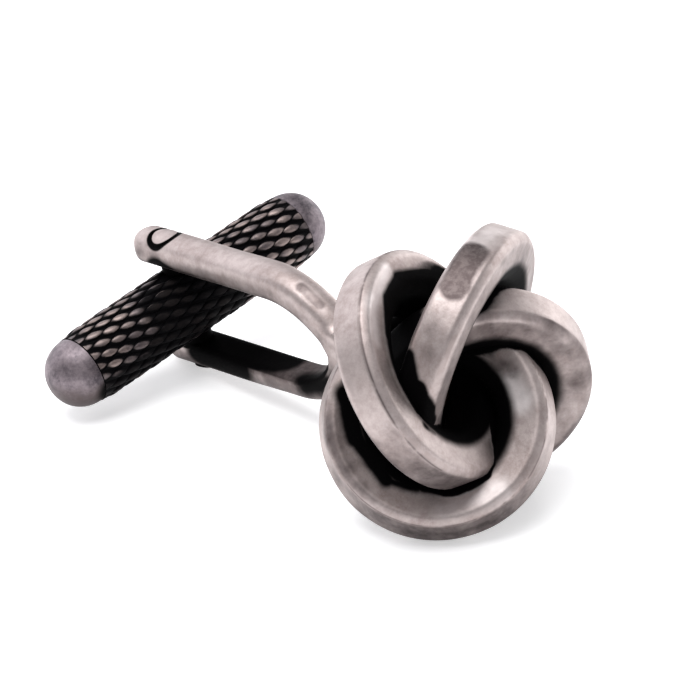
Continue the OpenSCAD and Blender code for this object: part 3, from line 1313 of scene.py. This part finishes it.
@dataclass
class Toggle:
    """The knurled bar with its two plain caps.

    Attributes:
        place: Where the pin and the post lie.
        knurled: The barrel's material.
        plain: The caps' material.
        half_length: Half the barrel's length.
        top_radius: Radius of the barrel at the tops of its diamonds.
        groove_depth: Depth of the grooves between them.
        core_run: How far along the barrel its core's end edges are broken.
        core_drop: How far those edges fall.
        rows: Rows of diamonds along the barrel.
        round_count: Diamonds in a row.
        skew: How far the diamonds lean, as on a hand-cut knurl.
        wear: How deep the uneven wear of the tops goes.
        fade: Length over which the knurl gets flatter at the ends.
        bore: Radius of the hole for the pin.
        boss: How far round the pin there are no diamonds.
        cap_gap: The seam between the barrel and a cap.
        cap_radius: Radius of the caps.
        cap_lip: How far a cap's edge at the seam is broken.
        cap_straight: Length of a cap before its dome.
        cap_power: How full the dome is; 1 is half an ellipsoid.
        cap_end: From the bar's middle to a cap's end.
        cap_unevenness: How uneven a cap is round its axis.
    """

    place: Placement
    knurled: Material
    plain: Material
    half_length: float = 7.35
    top_radius: float = 2.0
    groove_depth: float = 0.17
    core_run: float = 0.05
    core_drop: float = 0.03
    rows: int = 17
    round_count: int = 19
    skew: float = -0.145
    wear: float = 0.05
    fade: float = 0.9
    bore: float = 0.75
    boss: float = 1.02
    cap_gap: float = 0.02
    cap_radius: float = 1.85
    cap_lip: float = 0.03
    cap_straight: float = 0.03
    cap_power: float = 0.94
    cap_end: float = 9.25
    cap_unevenness: float = 0.006

    def core_mesh(self) -> Mesh:
        """Makes the barrel under the knurl, with its bore.

        Returns:
            The core's mesh.
        """
        base, end, past = self.top_radius - self.groove_depth, self.half_length, 3.0
        low, inner = base - self.core_drop, end - self.core_run
        corners = [(-end, 0.0), (-end, low), (-inner, base), (inner, base), (end, low), (end, 0.0)]
        core = lathe("core", rounded(corners, self.core_run, steps=3), steps=96)
        drill = lathe("drill", [(-past, self.bore), (past, self.bore)], steps=48)
        drill.transform(turned(90, "Z"))
        worker, cutter = added("core_worker", core), added("drill_worker", drill)
        cut = worker.modifiers.new("bore", "BOOLEAN")
        cut.operation, cut.solver, cut.object = "DIFFERENCE", "EXACT", cutter
        mesh = plain_mesh(worker, "barrel_core")
        bpy.data.objects.remove(cutter)
        return mesh

    def recipe(self) -> Recipe:
        """Builds the tree that lays diamonds in rows on a flat sheet and rolls the sheet round the barrel.

        Returns:
            The tree, whose base mesh is the core.
        """
        r = Recipe("diamond_knurl", {
            "Half Length": self.half_length, "Core Radius": self.top_radius - self.groove_depth,
            "Depth": self.groove_depth, "Rows": self.rows, "Round": self.round_count, "Boss": self.boss,
            "Wear": self.wear, "Skew": self.skew, "Fade": self.fade, "Seed": 4,
        })
        half_length, core_radius, depth = (r.given(c) for c in ("Half Length", "Core Radius", "Depth"))
        rows, round_count = r.given("Rows"), r.given("Round")
        row_step = half_length * 2.0 / (rows - 1.0)
        round_step = math.tau / round_count
        index = r.step("GeometryNodeInputIndex")
        row = r.math("FLOOR", (index + 0.5) / round_count)
        stagger = r.math("MODULO", row, 2.0) * 0.5
        u = (row - (rows - 1.0) * 0.5) * row_step
        v = (index - row * round_count + stagger) * round_step
        points = r.step("GeometryNodePoints",
                        {"Count": rows * round_count, "Position": r.combined(u, v, 0.0)})
        from_pin = r.math("COSINE", v) * (core_radius + depth)
        away = r.math("SQRT", u * u + from_pin * from_pin)
        near = r.step("FunctionNodeCompare", {0: away, 1: r.given("Boss")},
                      operation="LESS_THAN", data_type="FLOAT")
        points = r.step("GeometryNodeDeleteGeometry", {"Geometry": points, "Selection": near}, domain="POINT")
        size = r.step("FunctionNodeRandomValue", {2: 0.93, 3: 1.03, "Seed": r.given("Seed")}, out=1,
                      data_type="FLOAT")
        laid = r.step("GeometryNodeInstanceOnPoints",
                      {"Points": points, "Instance": self._diamond(r, row_step, round_step),
                       "Scale": r.combined(size, size, size)})
        sheet = r.step("GeometryNodeRealizeInstances", {"Geometry": laid})
        flat = r.step("GeometryNodeInputPosition")
        lifted = r.parts(flat)[2]
        marked = r.step("GeometryNodeStoreNamedAttribute",
                        {"Geometry": sheet, "Name": Trait.HEIGHT.value, "Value": lifted / depth},
                        data_type="FLOAT", domain="POINT")
        knurl = r.step("GeometryNodeSetPosition", {"Geometry": marked, "Position": self._rolled(r, flat)})
        joined = r.node("GeometryNodeJoinGeometry", {0: knurl})
        r.feed(joined, {0: r.given("Geometry")})
        r.close(Value(r, joined.outputs[0]))
        return r

    def _rolled(self, r: Recipe, flat: Value) -> Value:
        """Adds the steps that roll the sheet round the barrel, flatter at the ends and unevenly worn.

        Args:
            r: The knurl's tree.
            flat: Where each point is on the sheet.

        Returns:
            The new places.
        """
        half_length, core_radius, depth = (r.given(c) for c in ("Half Length", "Core Radius", "Depth"))
        along, around, lifted = r.parts(flat)
        height = lifted * r.ramp(abs(along), half_length - r.given("Fade"), half_length, start=1.0, end=0.4)
        end = half_length - (depth - height) * 0.15
        along = r.math("MINIMUM", r.math("MAXIMUM", along, end * -1.0), end)
        worn = r.step("ShaderNodeTexNoise", {"Vector": flat, "Scale": 0.5, "Detail": 1.0}, out="Fac")
        radius = core_radius + (height - worn * r.given("Wear"))
        return r.combined(along, r.math("SINE", around) * radius, r.math("COSINE", around) * radius)

    def _diamond(self, r: Recipe, row_step: Value, round_step: Value) -> Value:
        """Adds the steps that make one diamond: a closed pad with sloping sides and a soft top.

        Args:
            r: The knurl's tree.
            row_step: Half the length of a diamond.
            round_step: Its width, as an angle.

        Returns:
            Its mesh.
        """
        pad = r.step("GeometryNodeMeshCone", {"Vertices": 16, "Side Segments": 3, "Radius Top": 0.4,
                                              "Radius Bottom": 1.0, "Depth": 1.0})
        x, y, level = r.parts(r.step("GeometryNodeInputPosition"))
        away = r.math("SQRT", x * x + y * y)
        power = level * 0.95 + 1.0
        shape = (abs(x / away) ** power + abs(y / away) ** power) ** (-1.0 / power)
        x = x * shape * row_step * (level * -0.22 + 1.0)
        y = x * level * r.given("Skew") + y * shape * (round_step * 0.5)
        rise = level ** 0.6 * r.given("Depth")
        return r.step("GeometryNodeSetPosition", {"Geometry": pad, "Position": r.combined(x, y, rise)})

    def cap_mesh(self, side: int) -> Mesh:
        """Makes a cap: a short neck with a broken edge, and a dome.

        Args:
            side: -1 for the left cap, 1 for the right one.

        Returns:
            The cap's mesh.
        """
        seam, steps = self.half_length + self.cap_gap, 24
        dome_centre = seam + self.cap_straight
        reach = self.cap_end - dome_centre
        profile = [(seam, 0.0), (seam, self.cap_radius - self.cap_lip)]
        for k in range(steps):
            a = math.pi / 2 * k / steps
            radius = self.cap_radius * math.cos(a) ** self.cap_power
            profile.append((dome_centre + reach * math.sin(a), radius))
        profile.append((self.cap_end, 0.0))
        mesh = lathe(f"bar_cap_{'left' if side < 0 else 'right'}", profile, steps=96)
        points = points_of(mesh)
        points[:, 1:] *= (1 + self.cap_unevenness * wobble(points, size=1.6, seed=31 + side))[:, None]
        points[:, 0] = np.minimum(points[:, 0], self.cap_end)
        set_points(mesh, points)
        if side < 0:
            mesh.transform(turned(180, "Z"))
        mesh.set_sharp_from_angle(angle=math.radians(40))
        return mesh

    def pieces(self) -> list[Piece]:
        """Makes the barrel and the caps.

        Returns:
            The three pieces, in place.
        """
        there = self.place.fork()
        barrel = self.recipe().make("bar_barrel", self.core_mesh(), self.knurled)
        barrel.set_sharp_from_angle(angle=math.radians(50))
        made = [Piece("bar_barrel", barrel, there, Body.TOGGLE, Slot.KNURL,
                      self.knurled, ("toggle_barrel",)).put()]
        for side, node in ((-1, "toggle_cap_left"), (1, "toggle_cap_right")):
            mesh = self.cap_mesh(side)
            made.append(Piece(mesh.name, mesh, there, Body.TOGGLE, Slot.CAP, self.plain, (node,)).put())
        return made


@dataclass(frozen=True)
class Smudge:
    """A stroke of colour on the metal, in millimetres in the part's frame: patina, painted shade and shadow, and
    painted highlights.

    Attributes:
        start: Where it starts.
        end: Where it ends.
        radius: Half its width.
        facing: Which way the faces that it covers look.
        soot_and_shade: How black it is, from 0 to 1: partly a dark deposit, partly painted shade and shadow.
        grey_and_shade: How grey it is, from 0 to 1: partly real dull patches, partly painted shade.
        painted_highlight: How strong the painted highlight is there, from 0 to 1.
        soft: Width of its edge.
    """

    start: Point
    end: Point
    radius: float
    facing: Point
    soot_and_shade: float = 0.0
    grey_and_shade: float = 0.0
    painted_highlight: float = 0.0
    soft: float = 0.4

    def cover(self, points: Array, normals: Array) -> Array:
        """Tells how much of it each point takes.

        Args:
            points: The points.
            normals: Their normals.

        Returns:
            One number for each point, from 0 to 1.
        """
        turned_away, turned_over = 0.35, 0.25
        start, facing = np.array(self.start), np.array(self.facing)
        run = np.array(self.end) - start
        share = np.clip((points - start) @ run / max(float(run @ run), 1e-6), 0, 1)
        away = np.linalg.norm(points - start - share[:, None] * run, axis=1)
        looks = np.clip((normals @ facing / np.linalg.norm(facing) - turned_away) / turned_over, 0, 1)
        return np.clip((self.radius - away) / self.soft + 0.5, 0, 1) * looks


@dataclass
class PatinaAndShade:
    """Works out how open each point is, for the black in the recesses, which is partly patina where no polishing
    wheel reaches and partly painted shade.

    Attributes:
        reach: How far a blocked direction is looked along, in millimetres.
        cell: Size of the cells that the surfaces are sorted into.
        lift: How far above the surface a look starts.
        stride: How far each look steps, in cells.
        rays: Directions for each point.
        blur: Rounds in which each point takes up its neighbours' values.
        under_shade: How strong the painted shade is on the faces that look down.
        under_from: How far up a face may look and still have some, as the height of its normal.
        under_over: The change in that height over which the grey comes to its full.
        smudges: The patina, painted shade, painted shadow and painted highlights that the openness doesn't give,
            as the photograph shows them.
    """

    reach: float = 9.0
    cell: float = 0.17
    lift: float = 0.32
    stride: float = 0.9
    rays: int = 28
    blur: int = 3
    under_shade: float = 0.68
    under_from: float = 0.12
    under_over: float = 0.6
    smudges: tuple[Smudge, ...] = (
        # The knot: grey patches and black bands, partly real patina and partly painted shade.
        Smudge((0.3, -11.0, 14.3), (-1.7, -11.9, 13.4), 0.75, (-0.3, -0.3, 0.9), grey_and_shade=1.0, soft=0.45),
        Smudge((-4.6, -11.5, 10.5), (-4.8, -12.3, 8.6), 0.5, (-0.9, -0.35, 0.2), soot_and_shade=1.0, soft=0.4),
        Smudge((-4.7, -12.3, 9.0), (-4.4, -12.8, 7.4), 0.6, (-0.6, -0.8, 0.0), soot_and_shade=1.0, soft=0.3),
        Smudge((-4.4, -12.8, 7.4), (-4.0, -12.8, 7.0), 0.5, (0.1, -0.95, -0.3), soot_and_shade=1.0, soft=0.3),
        Smudge((0.6, -7.4, 11.7), (-2.0, -7.95, 12.5), 0.52, (0.4, -0.8, 0.5), soot_and_shade=1.0, soft=0.4),
        Smudge((-2.0, -7.95, 12.5), (-3.4, -8.75, 12.25), 0.48, (0.4, -0.8, 0.5), soot_and_shade=1.0, soft=0.4),
        Smudge((-3.5, -8.8, 12.3), (-4.5, -10.1, 11.1), 0.42, (0.5, -0.8, 0.4), soot_and_shade=1.0, soft=0.4),
        Smudge((-4.5, -10.1, 11.1), (-4.9, -11.0, 9.9), 0.3, (0.6, -0.7, 0.4), soot_and_shade=1.0, soft=0.4),
        Smudge((-2.4, -7.7, 9.6), (-2.8, -8.8, 8.6), 1.5, (-0.85, -0.1, 0.5), soot_and_shade=1.0),
        Smudge((1.5, -11.0, 7.7), (2.0, -11.7, 7.4), 0.45, (-0.7, -0.5, 0.5), grey_and_shade=0.4),
        Smudge((-4.6, -6.6, 6.7), (-5.1, -7.9, 4.9), 0.6, (-0.35, -0.7, 0.65), soot_and_shade=1.0, soft=0.7),
        Smudge((-5.1, -7.9, 4.9), (-4.9, -9.9, 3.3), 0.52, (-0.35, -0.6, 0.7), soot_and_shade=1.0, soft=0.7),
        Smudge((-4.9, -9.9, 3.3), (-3.9, -11.0, 2.8), 0.35, (-0.35, -0.5, 0.75), soot_and_shade=1.0, soft=0.7),
        Smudge((-3.7, -12.6, 11.2), (-2.7, -12.3, 12.6), 1.0, (-0.65, -0.42, 0.63), grey_and_shade=0.27, soft=1.0),
        Smudge((0.6, -11.2, 10.5), (3.7, -12.2, 8.5), 0.8, (-0.5, -0.85, -0.1), grey_and_shade=0.35, soft=0.8),
        Smudge((-5.0, -11.1, 0.7), (-1.4, -13.9, 1.1), 0.55, (-0.4, -0.6, -0.6),
               soot_and_shade=0.4, grey_and_shade=0.9, soft=0.8),
        Smudge((3.5, -12.4, 9.4), (5.6, -12.6, 6.3), 1.3, (-0.4, -0.9, -0.2), grey_and_shade=0.5, soft=1.0),
        Smudge((5.6, -12.6, 6.3), (5.6, -11.6, 2.9), 1.3, (-0.5, -0.85, -0.2), grey_and_shade=0.36, soft=1.0),
        Smudge((-5.8, -6.5, 5.6), (-6.3, -8.5, 3.6), 0.6, (-0.85, -0.25, 0.4), grey_and_shade=0.55, soft=0.8),
        Smudge((-6.3, -8.5, 3.6), (-6.0, -9.9, 2.6), 0.45, (-0.85, -0.4, 0.3), grey_and_shade=0.4, soft=0.7),
        # The bar and the fork: black between and under the arms, partly a dark deposit and partly painted shadow,
        # with painted shade on the lower arm.
        Smudge((0.2, 9.9, 2.0), (1.0, 5.0, 2.7), 1.5, (-0.2, 0.12, 0.97), soot_and_shade=1.0, soft=0.9),
        Smudge((-0.4, 10.6, 1.5), (-0.4, 7.2, 1.8), 1.0, (-1.0, 0.0, 0.0), soot_and_shade=1.0, soft=1.0),
        Smudge((-0.4, 7.2, 1.8), (-0.6, 0.0, 3.0), 1.4, (-1.0, 0.1, 0.1), grey_and_shade=0.62, soft=0.8),
        Smudge((0.6, 4.6, 2.8), (-0.4, -0.2, 3.9), 1.4, (-0.2, 0.12, 0.97), soot_and_shade=0.35, grey_and_shade=0.95, soft=0.8),
        Smudge((-0.3, 2.2, 3.0), (-0.7, -0.6, 4.4), 0.8, (-0.5, 0.3, 0.8), soot_and_shade=1.0, soft=1.2),
        Smudge((-0.5, 1.9, 2.5), (-0.6, -1.0, 4.0), 0.7, (-1.0, 0.1, 0.0), soot_and_shade=0.9, soft=1.2),
        Smudge((-0.9, 1.1, 8.7), (-0.8, -0.2, 8.1), 0.3, (-0.35, -0.4, 0.85), grey_and_shade=0.6, soft=0.2),
        Smudge((-0.9, 12.0, 5.8), (-0.7, 11.0, 5.7), 1.3, (-0.8, -0.1, 0.3), soot_and_shade=1.0),
        Smudge((-1.6, 13.6, 6.7), (-1.6, 12.0, 6.9), 0.5, (-1.0, 0.0, -0.1), grey_and_shade=0.5, soft=0.8),
        Smudge((-2.2, 10.6, 5.0), (1.5, 10.2, 4.6), 1.7, (0.0, -0.8, 0.6), soot_and_shade=1.0, soft=1.2),
        Smudge((-2.6, 10.0, 2.7), (1.0, 10.2, 3.2), 1.8, (0.1, -0.9, 0.1), soot_and_shade=1.0, soft=1.0),
        Smudge((-6.5, 10.0, 1.9), (-2.6, 10.0, 2.7), 1.0, (0.1, -0.9, -0.3), soot_and_shade=0.95, soft=0.9),
        Smudge((-8.3, 10.5, 1.7), (-7.2, 10.0, 1.6), 0.8, (-0.3, -0.8, -0.5), grey_and_shade=0.8, soft=0.9),
        # Painted highlights.
        Smudge((-2.6, -7.7, 13.2), (-4.9, -9.4, 12.6), 0.4, (0.3, -0.7, 0.6), painted_highlight=0.75, soft=0.5),
        Smudge((-4.9, -9.4, 12.6), (-5.7, -10.6, 11.4), 0.35, (0.35, -0.75, 0.5), painted_highlight=0.7, soft=0.5),
        Smudge((0.9, -10.6, 14.4), (2.6, -10.0, 14.0), 0.8, (0.0, -0.2, 0.98), painted_highlight=0.55, soft=0.9),
        Smudge((-3.6, -12.6, 2.2), (-0.8, -14.0, 2.8), 0.6, (-0.5, -0.45, 0.75), painted_highlight=0.55, soft=0.9),
        Smudge((1.5, -11.9, 6.9), (1.6, -12.6, 6.3), 0.7, (-0.7, -0.45, 0.55), painted_highlight=0.8, soft=0.8),
    )

    def directions(self) -> Array:
        """Spreads directions evenly over a ball.

        Returns:
            The directions, one row each.
        """
        k = np.arange(self.rays) + 0.5
        z = 1 - 2 * k / self.rays
        turn = k * math.pi * (3 - math.sqrt(5))
        ring = np.sqrt(1 - z * z)
        return np.stack([ring * np.cos(turn), ring * np.sin(turn), z], axis=1).astype(np.float32)

    def mark(self, pieces: list[Piece]) -> None:
        """Stores on every piece how open, black, grey and bright each of its points is.

        Args:
            pieces: The finished pieces.
        """
        clouds = [(points_of(piece.mesh) / MM).astype(np.float32) for piece in pieces]
        low = np.concatenate(clouds).min(0) - 2 * self.cell
        cells = [((cloud - low) / self.cell).astype(np.int32) for cloud in clouds]
        filled = np.zeros(np.concatenate(cells).max(0) + 3, bool)
        for cell in cells:
            filled[tuple(cell.T)] = True
        for piece, cloud in zip(pieces, clouds):
            normals = rows_of(piece.mesh, "normal")
            openness = self._openness(filled, low, cloud, normals.astype(np.float32))
            # The finishes turn low openness black: partly patina, partly painted shade of the recesses.
            set_trait(piece.mesh, Trait.OPEN, self._blurred(piece.mesh, openness))
            self._smudge(piece.mesh, cloud, normals)

    def _smudge(self, mesh: Mesh, points: Array, normals: Array) -> None:
        """Stores on a piece how black, grey and bright the smudges make each of its points.

        Args:
            mesh: The piece's mesh.
            points: Its points, in millimetres.
            normals: Their normals.
        """
        soot_and_shade, grey_and_shade, painted_highlight = np.zeros((3, len(points)))
        if Trait.SOOT_AND_SHADE.value in mesh.attributes:
            mesh.attributes[Trait.SOOT_AND_SHADE.value].data.foreach_get("value", soot_and_shade)
        for smudge in self.smudges:
            cover = smudge.cover(points, normals)
            soot_and_shade = np.maximum(soot_and_shade, cover * smudge.soot_and_shade)
            grey_and_shade = np.maximum(grey_and_shade, cover * smudge.grey_and_shade)
            painted_highlight = np.maximum(painted_highlight, cover * smudge.painted_highlight)
        # The knurl and the braze have a black of their own, and no painted shade on their undersides.
        if Trait.HEIGHT.value not in mesh.attributes:
            # Painted shade on the faces that look down.
            under = np.clip((self.under_from - normals[:, 2]) / self.under_over, 0, 1)
            grey_and_shade = np.maximum(grey_and_shade, self.under_shade * under)
        for trait, values in ((Trait.SOOT_AND_SHADE, soot_and_shade), (Trait.GREY_AND_SHADE, grey_and_shade), (Trait.PAINTED_HIGHLIGHT, painted_highlight)):
            set_trait(mesh, trait, values)

    def _openness(self, filled: Array, low: Array, points: Array, normals: Array) -> Array:
        """Returns the share of directions that nothing blocks, for each point.

        Args:
            filled: Which cells hold a surface.
            low: The lowest corner of the cells.
            points: The points.
            normals: Their normals.

        Returns:
            One number for each point.
        """
        start = (points + normals * self.lift - low) / self.cell
        top = np.array(filled.shape) - 1
        result = np.zeros(len(points))
        for ray in self.directions():
            # Pushed out by the normal, the looks gather round it and none goes into the metal.
            aim = ray + normals * 1.001
            aim /= np.linalg.norm(aim, axis=1, keepdims=True)
            clear = np.ones(len(points), bool)
            for step in np.arange(0.0, self.reach / self.cell, self.stride, dtype=np.float32):
                place = (start + aim * step).astype(np.int32)
                np.clip(place, 0, top, out=place)
                clear &= ~filled[place[:, 0], place[:, 1], place[:, 2]]
            result += clear
        return result / self.rays

    def _blurred(self, mesh: Mesh, values: Array) -> Array:
        """Lets each point take up its neighbours' values.

        Args:
            mesh: The mesh.
            values: One number for each point.

        Returns:
            The smoother values.
        """
        ends = np.zeros(len(mesh.edges) * 2, int)
        mesh.edges.foreach_get("vertices", ends)
        a, b = ends.reshape(-1, 2).T
        size = len(values)
        count = np.bincount(np.concatenate([a, b]), minlength=size) + 1
        for _ in range(self.blur):
            values = (values + np.bincount(a, values[b], size) + np.bincount(b, values[a], size)) / count
        return values


@dataclass(frozen=True)
class SoftBox:
    """A soft light that faces the cufflink.

    Attributes:
        name: The light's name.
        spot: Where it stands, in metres.
        size: Its width and height.
        power: Its power in watts.
        color: Its colour.
    """

    name: str
    spot: Point
    size: tuple[float, float]
    power: float
    color: Color = (1.0, 1.0, 1.0)

    def put(self, aim: Point) -> None:
        """Sets the light up.

        Args:
            aim: What it faces.
        """
        light = bpy.data.lights.new(self.name, "AREA")
        light.shape, light.size, light.size_y = "RECTANGLE", *self.size
        light.energy, light.color = self.power, self.color
        lamp = added(self.name, light)
        lamp.location = self.spot
        lamp.rotation_euler = (Vector(aim) - Vector(self.spot)).to_track_quat("-Z", "Y").to_euler()


@dataclass
class Studio:
    """A pale floor, soft light from all round and the camera of the photograph.

    Attributes:
        eye: Where the camera stands, in metres.
        aim: What it looks at.
        roll: Its turn about its own axis, in degrees.
        lens: Its focal length for a 36 mm sensor.
        floor_half: Half the floor's side, in metres.
        floor_tones: The two tones of the floor.
        floor_roughness: How rough it is.
        floor_relief: Height of its fine relief.
        glow: Strength of the floor's own light, which keeps it as pale as in the photograph.
        tent: Colour of the light from all round.
        tent_strength: Strength of that light.
        boxes: The soft lights.
    """

    eye: Point = (-0.184416, -0.230419, 0.151172)
    aim: Point = (-0.0006, -0.0022, 0.0062)
    roll: float = -2.885
    lens: float = 335.0
    floor_half: float = 3.0
    floor_tones: tuple[Color, Color] = ((0.93, 0.93, 0.94), (0.95, 0.95, 0.955))
    floor_roughness: float = 0.85
    floor_relief: float = 0.002
    glow: float = 0.42
    tent: Color = (0.93, 0.93, 0.96)
    tent_strength: float = 0.46
    boxes: tuple[SoftBox, ...] = (
        SoftBox("overhead", (-0.07, 0.02, 0.42), (0.36, 0.36), 1.75),
        SoftBox("right", (0.36, 0.02, 0.11), (0.5, 0.2), 0.72),
        SoftBox("behind", (-0.04, 0.42, 0.2), (0.7, 0.36), 1.15, (0.96, 0.96, 1.0)),
    )

    def floor(self) -> None:
        """Lays the floor."""
        m = MetalSteps("paper_floor")
        tone = m.mixed(m.noise(0.02, detail=2.0), *self.floor_tones)
        relief = m.noise(1.2, detail=2.0)
        material = m.finish(tone, 0.0, self.floor_roughness, relief, self.floor_relief)
        m.feed(m.shader, {"Emission Color": (1.0, 1.0, 1.0, 1.0), "Emission Strength": self.glow})
        far = self.floor_half
        corners = [(-far, -far, 0), (far, -far, 0), (far, far, 0), (-far, far, 0)]
        mesh = mesh_of("floor", corners, [(0, 1, 2, 3)])
        mesh.materials.append(material)
        added("floor", mesh)

    def world(self) -> None:
        """Lights the scene from all round."""
        world = bpy.data.worlds.new("tent")
        bpy.context.scene.world = world
        world.use_nodes = True
        back = world.node_tree.nodes["Background"]
        back.inputs["Color"].default_value = (*self.tent, 1.0)
        back.inputs["Strength"].default_value = self.tent_strength

    def camera(self) -> None:
        """Sets up the camera."""
        data = bpy.data.cameras.new("camera")
        data.sensor_width, data.lens = 36.0, self.lens
        data.clip_start, data.clip_end = 0.01, 20.0
        camera = added("camera", data)
        look = (Vector(self.aim) - Vector(self.eye)).to_track_quat("-Z", "Y").to_matrix().to_4x4()
        camera.matrix_world = Matrix.Translation(self.eye) @ look @ turned(self.roll, "Z")
        bpy.context.scene.camera = camera

    def build(self) -> None:
        """Builds the whole set."""
        self.floor()
        self.world()
        for box in self.boxes:
            box.put(self.aim)
        self.camera()
        bpy.context.scene.view_settings.view_transform = "Standard"


def main() -> None:
    """Builds and dresses every piece, then the studio."""
    logging.basicConfig(level=logging.INFO, format="%(name)s: %(message)s")
    place = Placement.packed()
    cap_metal = Gunmetal("cap_gunmetal", light=Tone((0.285, 0.24, 0.258), 0.48),
                         brown=Tone((0.08, 0.068, 0.078), 0.5), mottle=1.5)
    knot = Knot(place, Gunmetal("strand_gunmetal").material())
    fork = BrazedFork(place, Gunmetal("fork_gunmetal").material(), CopperBraze("copper_braze").material())
    toggle = Toggle(place, KnurledGunmetal("knurled_gunmetal").material(), cap_metal.material())
    pieces = [*knot.strands(), *fork.pieces(), *toggle.pieces()]
    PatinaAndShade().mark(pieces)
    for piece in pieces:
        log.info("%s: %d points, %d faces, rides on %s", piece.name, len(piece.mesh.vertices),
                 len(piece.mesh.polygons), piece.body.value)
    Studio().build()


if __name__ == "__main__":
    main()
